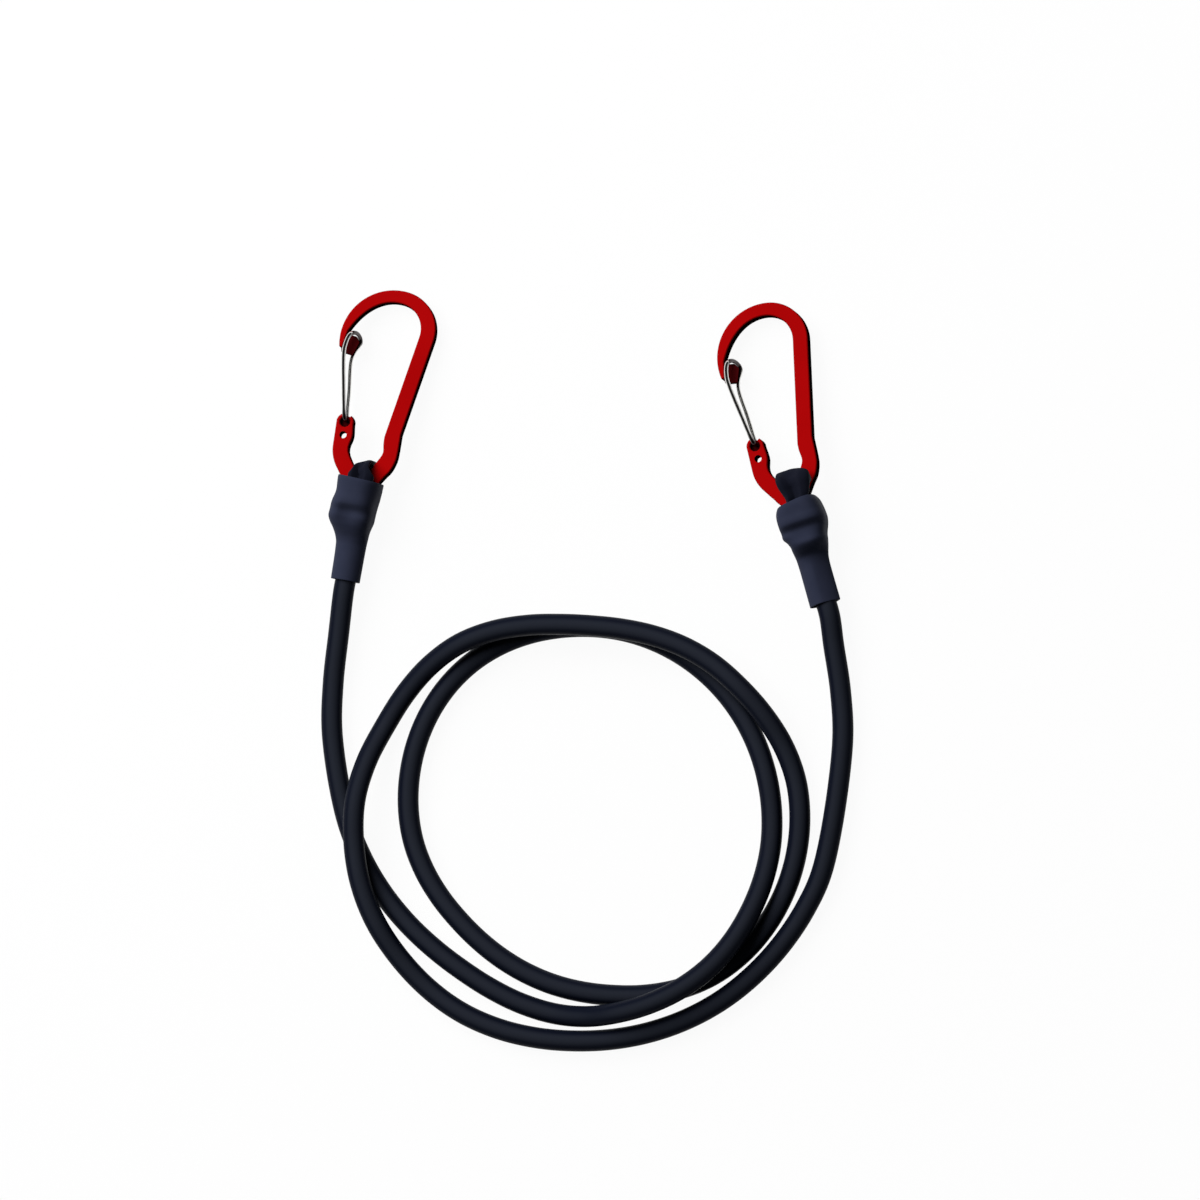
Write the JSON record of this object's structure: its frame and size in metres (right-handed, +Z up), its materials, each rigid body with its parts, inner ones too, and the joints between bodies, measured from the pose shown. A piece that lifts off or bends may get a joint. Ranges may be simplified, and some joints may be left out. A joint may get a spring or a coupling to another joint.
{
  "type": "bungee cord",
  "caption": "Smooth round rubber stretch cord in a loose coil, with a flat wire-gate carabiner held by a crimped and sleeved loop at each end.",
  "frame": {"origin": "centre of the carabiners', loops' and sleeves' box at its base, on the surface that the cord lies on", "axes": "+X across, from the left carabiner to the right one; +Y away from the coil, towards the carabiners' bows; +Z up from the surface"},
  "size_m": [0.1253, 0.1764, 0.0121],
  "materials": {
    "anodised_plate": "red anodised, satin",
    "gate_wire": "polished spring wire",
    "cord": "smooth black, satin",
    "crimp": "plain bent strip",
    "sleeve": "shrunk tube, soft sheen"
  },
  "bodies": {
    "cord": {"cord_left_run": "cord", "cord_coil": "cord", "cord_right_run": "cord", "left_cord_loop": "cord", "left_crimp_ferrule": "crimp", "left_shrink_sleeve": "sleeve", "right_cord_loop": "cord", "right_crimp_ferrule": "crimp", "right_shrink_sleeve": "sleeve"},
    "left_carabiner": {"left_carabiner_frame": "anodised_plate"},
    "left_gate": {"left_gate_wire": "gate_wire"},
    "right_carabiner": {"right_carabiner_frame": "anodised_plate"},
    "right_gate": {"right_gate_wire": "gate_wire"}
  },
  "joints": [
    {"name": "left_carabiner_swing", "type": "hinge", "parent": "cord", "child": "left_carabiner", "pos_m": [-0.05271, -0.00799, 0.006], "axis": [0.9823, -0.1874, 0], "range_deg": [-6, 12]},
    {"name": "left_gate_hinge", "type": "hinge", "parent": "left_carabiner", "child": "left_gate", "pos_m": [-0.05658, 0.00698, 0.00535], "axis": [-0.0982, -0.0684, -0.9928], "range_deg": [0, 36], "stiffness_Nm_per_rad": 0.02, "springref_deg": -5.73},
    {"name": "right_carabiner_swing", "type": "hinge", "parent": "cord", "child": "right_carabiner", "pos_m": [0.04994, -0.01339, 0.006], "axis": [0.9593, 0.2823, 0], "range_deg": [-6, 12]},
    {"name": "right_gate_hinge", "type": "hinge", "parent": "right_carabiner", "child": "right_gate", "pos_m": [0.04075, -0.00098, 0.0049], "axis": [0.0095, -0.0816, -0.9966], "range_deg": [0, 36], "stiffness_Nm_per_rad": 0.02, "springref_deg": -5.73}
  ]
}
